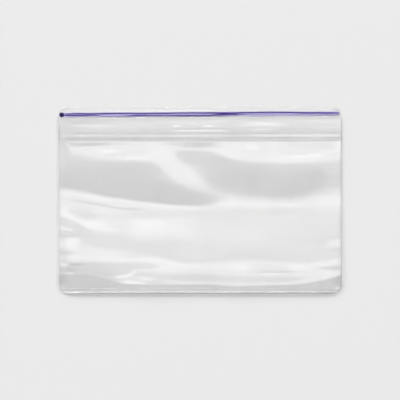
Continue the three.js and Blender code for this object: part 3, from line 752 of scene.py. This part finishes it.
def drawn_finish(name, groups, lines, gloss, depth):
    """A new material with faint drawn lines, its shader, and the node that makes the lines.

    lines is how many there are per mm and how long they are, gloss the least and the most roughness, and
    depth the height of the lines, all lengths in mm.
    """
    material = bpy.data.materials.new(name)
    material.use_nodes = True
    tree = material.node_tree
    shader = tree.nodes["Principled BSDF"]
    shader.inputs["IOR"].default_value = 1.5
    per_mm, length = lines
    smoothest, dullest = gloss
    values = {"Lines Per mm": per_mm, "Length mm": length}
    drawn = node(tree, "ShaderNodeGroup", (-900, 200), values, node_tree=groups["drawn"])
    rough = node(tree, "ShaderNodeMapRange", (-600, 200), {"To Min": smoothest, "To Max": dullest})
    bump = node(tree, "ShaderNodeBump", (-600, 0), {"Strength": 1.0, "Distance": depth * MM})
    link = tree.links.new
    link(drawn.outputs["Dull"], rough.inputs[0])
    link(rough.outputs[0], shader.inputs["Roughness"])
    link(drawn.outputs["Height"], bump.inputs["Height"])
    link(bump.outputs["Normal"], shader.inputs["Normal"])
    return material, shader, drawn


def clear_plastic(name, groups, color, mirror, gloss, lines, depth, head_on, body=0.0, glance=0.9):
    """Clear plastic: mostly seen through, mirroring more at a glance, with faint drawn lines.

    head_on, body and glance say how much light one face stops, and mirror how much of that it mirrors.
    """
    material, shader, _ = drawn_finish(name, groups, lines, gloss, depth)
    tree = material.node_tree
    shader.inputs["Base Color"].default_value = (*color, 1)
    shader.inputs["Metallic"].default_value = mirror
    facing = node(tree, "ShaderNodeLayerWeight", (-900, -200), {"Blend": 0.5})
    stops = {"Head On": head_on, "Body": body, "Glance": glance}
    clarity = node(tree, "ShaderNodeGroup", (-600, -200), stops, node_tree=groups["clarity"])
    tree.links.new(facing.outputs["Facing"], clarity.inputs["Facing"])
    tree.links.new(clarity.outputs["Alpha"], shader.inputs["Alpha"])
    return material


def coloured(name, groups, dark, light, alpha, mirror=0.1):
    """A coloured finish, darker and lighter along the drawn lines. alpha is what one face stops of light."""
    material, shader, drawn = drawn_finish(name, groups, lines=(3.0, 18.0), gloss=(0.18, 0.34), depth=0.03)
    tree = material.node_tree
    shader.inputs["Specular IOR Level"].default_value = mirror
    shader.inputs["Alpha"].default_value = alpha
    shade = node(tree, "ShaderNodeMix", (-400, 300), {"A": (*dark, 1), "B": (*light, 1)}, data_type="RGBA")
    tree.links.new(drawn.outputs["Height"], shade.inputs["Factor"])
    tree.links.new(shade.outputs["Result"], shader.inputs["Base Color"])
    return material


def use_on_node(name, material):
    """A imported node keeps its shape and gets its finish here."""
    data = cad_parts[name].data
    data.materials.clear()
    data.materials.append(material)


# ---- Table, light and camera ----

TABLE_REACH = 60.0
TABLE_Z = -0.05  # in mm, so that no face of the bag lies in the table's plane
TABLE_SHADE = 0.361
ROOM_SHADE = 0.25
LIGHT_HEIGHT = 18.0
LIGHT_STRENGTH = 4.1
SOFTBOX_SIDE, SOFTBOX_NEAR, SOFTBOX_FAR = 1.3, -0.15, 1.0  # its edges, in shares of its height
GLOW_RISES, GLOW_FADES = (-0.15, 0.19), (0.5, 1.0)  # from and to in Y, in the same shares
WINDOW_AT = (-9.0, 22.5, 18.2)
WINDOW_SIZE = (20.0, 25.0)
WINDOW_POWER = 38050
LENS_MM, SENSOR_MM = 400, 36
CAMERA_HEIGHT = 2.8228  # above the film, which is about 2 mm above the table
CAMERA_Y = -0.16  # in mm


def make_table():
    """A wide, plain, pale table, just below the bag."""
    mesh = bpy.data.meshes.new("table")
    far = TABLE_REACH
    mesh.from_pydata([(-far, -far, 0), (far, -far, 0), (far, far, 0), (-far, far, 0)], [], [(0, 1, 2, 3)])
    table = bpy.data.objects.new("table", mesh)
    table.location.z = TABLE_Z * MM
    bpy.context.scene.collection.objects.link(table)
    material = bpy.data.materials.new("pale_table")
    material.use_nodes = True
    shader = material.node_tree.nodes["Principled BSDF"]
    shader.inputs["Base Color"].default_value = (TABLE_SHADE, TABLE_SHADE, TABLE_SHADE, 1)
    shader.inputs["Roughness"].default_value = 1.0
    shader.inputs["Specular IOR Level"].default_value = 0.0
    mesh.materials.append(material)


def make_softbox():
    """A wide soft light over the mouth's side, whose glow fades out around straight above."""
    mesh = bpy.data.meshes.new("softbox")
    reach, near_y, far_y = (LIGHT_HEIGHT * share for share in (SOFTBOX_SIDE, SOFTBOX_NEAR, SOFTBOX_FAR))
    corners = [(-reach, near_y, 0), (-reach, far_y, 0), (reach, far_y, 0), (reach, near_y, 0)]
    mesh.from_pydata(corners, [], [(0, 1, 2, 3)])
    softbox = bpy.data.objects.new("softbox", mesh)
    softbox.location.z = LIGHT_HEIGHT
    bpy.context.scene.collection.objects.link(softbox)
    softbox.visible_camera = False
    material = bpy.data.materials.new("softbox_cloth")
    material.use_nodes = True
    tree = material.node_tree
    tree.nodes.remove(tree.nodes["Principled BSDF"])
    glow = node(tree, "ShaderNodeEmission", (0, 0))
    place = node(tree, "ShaderNodeNewGeometry", (-900, 0))
    axes = node(tree, "ShaderNodeSeparateXYZ", (-700, 0))
    low, high = (LIGHT_HEIGHT * share for share in GLOW_RISES)
    near = node(tree, "ShaderNodeMapRange", (-500, 100), {
        "From Min": low, "From Max": high, "To Min": 0, "To Max": LIGHT_STRENGTH,
    }, interpolation_type="SMOOTHSTEP")
    low, high = (LIGHT_HEIGHT * share for share in GLOW_FADES)
    far = node(tree, "ShaderNodeMapRange", (-500, -200), {
        "From Min": low, "From Max": high, "To Min": 1, "To Max": 0,
    }, interpolation_type="SMOOTHSTEP")
    both = node(tree, "ShaderNodeMath", (-200, 0), operation="MULTIPLY")
    link = tree.links.new
    link(place.outputs["Position"], axes.inputs[0])
    link(axes.outputs[1], near.inputs[0])
    link(axes.outputs[1], far.inputs[0])
    link(near.outputs[0], both.inputs[0])
    link(far.outputs[0], both.inputs[1])
    link(both.outputs[0], glow.inputs["Strength"])
    link(glow.outputs[0], tree.nodes["Material Output"].inputs["Surface"])
    mesh.materials.append(material)


def make_window():
    """A lower light from the mouth's side, which gives the fold its shadow."""
    lamp = bpy.data.lights.new("window", "AREA")
    lamp.energy = WINDOW_POWER
    lamp.shape = "RECTANGLE"
    lamp.size, lamp.size_y = WINDOW_SIZE
    window = bpy.data.objects.new("window", lamp)
    window.location = WINDOW_AT
    window.rotation_euler = mathutils.Vector(WINDOW_AT).to_track_quat("Z", "Y").to_euler()
    bpy.context.scene.collection.objects.link(window)


def make_room():
    """Dim grey walls, plain colours, and enough steps through layers of clear film."""
    scene = bpy.context.scene
    scene.world = bpy.data.worlds.new("room")
    scene.world.use_nodes = True
    walls = scene.world.node_tree.nodes["Background"]
    walls.inputs["Color"].default_value = (ROOM_SHADE, ROOM_SHADE, ROOM_SHADE, 1)
    scene.view_settings.view_transform = "Standard"
    scene.cycles.transparent_max_bounces = 40


def make_camera():
    """Straight above, on a long lens, with 254 mm of table across the picture."""
    lens = bpy.data.cameras.new("camera")
    lens.lens, lens.sensor_width = LENS_MM, SENSOR_MM
    lens.clip_end = 100
    camera = bpy.data.objects.new("camera", lens)
    camera.location = (0, CAMERA_Y * MM, CAMERA_HEIGHT + 2 * MM)
    bpy.context.scene.collection.objects.link(camera)
    bpy.context.scene.camera = camera


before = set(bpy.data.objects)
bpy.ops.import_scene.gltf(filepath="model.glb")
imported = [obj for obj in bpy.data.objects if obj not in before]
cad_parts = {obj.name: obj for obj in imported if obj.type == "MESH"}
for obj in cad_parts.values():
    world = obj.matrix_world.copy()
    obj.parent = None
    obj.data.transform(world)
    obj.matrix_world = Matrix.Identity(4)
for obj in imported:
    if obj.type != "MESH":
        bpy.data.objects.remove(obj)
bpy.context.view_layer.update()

groups = {"clarity": film_clarity_group(), "drawn": drawn_plastic_group()}
fine_lines, zip_lines = (1.2, 30), (2, 25)
film = clear_plastic(
    "clear_film", groups, color=(0.71, 0.71, 0.71), mirror=1.0, gloss=(0.06, 0.12), lines=fine_lines,
    depth=0.004, head_on=0.0525)
# left weld: a faint grey bead finish that also paints soft shade along the left edge, where the bead reaches
# past the film
weld_and_soft_edge_shade = clear_plastic(
    "weld_and_soft_edge_shade", groups, color=(0.3, 0.3, 0.3), mirror=0.2, gloss=(0.3, 0.4), lines=fine_lines,
    depth=0.01, head_on=0.02, body=0.025, glance=0.2)
# right weld: a denser, darker copy of the weld finish, painted shade for the side away from the light
weld_and_dark_edge_shade = clear_plastic(
    "weld_and_dark_edge_shade", groups, color=(0.3, 0.3, 0.31), mirror=0.2, gloss=(0.25, 0.35), lines=fine_lines,
    depth=0.01, head_on=0.04, body=0.05, glance=0.25)
# the fold's crease: dark grey partly from the doubled film, partly painted contact shade at the fold's edge
crease = clear_plastic(
    "creased_film_and_contact_shade", groups, color=(0.2, 0.2, 0.21), mirror=0.1, gloss=(0.35, 0.45), lines=zip_lines,
    depth=0.004, head_on=0.05, body=0.2, glance=0.3)
clear_zip = clear_plastic(
    "clear_zip_plastic", groups, color=(0.66, 0.66, 0.67), mirror=0.6, gloss=(0.1, 0.2), lines=zip_lines,
    depth=0.01, head_on=0.02)
violet = coloured("violet_plastic", groups, (0.025, 0.014, 0.088), (0.052, 0.028, 0.15), 0.9)
melted_violet = coloured(
    "melted_violet_plastic", groups, (0.008, 0.006, 0.03), (0.016, 0.011, 0.05), 0.97, mirror=0.08)
pale_violet = coloured("pale_violet_plastic", groups, (0.1, 0.05, 0.6), (0.15, 0.09, 0.72), 0.06)
# pale violet flange: partly the strip's bled edge, partly painted violet tint over its shadow
flange_and_shadow_tint = coloured("violet_flange_and_shadow_tint", groups, (0.17, 0.13, 0.62), (0.23, 0.18, 0.7), 0.072)
pale_speck = coloured("pale_speck", groups, (0.7, 0.7, 0.7), (0.8, 0.8, 0.8), 0.9, mirror=0.3)
dark_speck = coloured("dark_speck", groups, (0.04, 0.04, 0.04), (0.08, 0.08, 0.08), 0.9, mirror=0.3)

heights = Film()
make_front_film(heights, film)
make_back_film(heights, film)
# the left bead lies partly past the film's edge, where its grey paints soft edge shade
make_side_weld("side_weld_left", side=-1, out=0.3, size=(1.25, 0.07), film=heights, material=weld_and_soft_edge_shade)
make_side_weld("side_weld_right", side=1, out=0.12, size=(0.3, 0.14), film=heights, material=weld_and_dark_edge_shade)
make_fold_crease(crease)
make_speck("speck_pale", at=(25.95, 13.5), size=(0.5, 0.34), film=heights, material=pale_speck)
make_speck("speck_dark", at=(27.3, 13.5), size=(0.46, 0.3), film=heights, material=dark_speck)
make_violet_zip(pale_violet, violet, flange_and_shadow_tint, melted_violet)
use_on_node("lower_zip_channel", clear_zip)
use_on_node("lower_zip_rib", clear_zip)

make_table()
make_softbox()
make_window()
make_room()
make_camera()
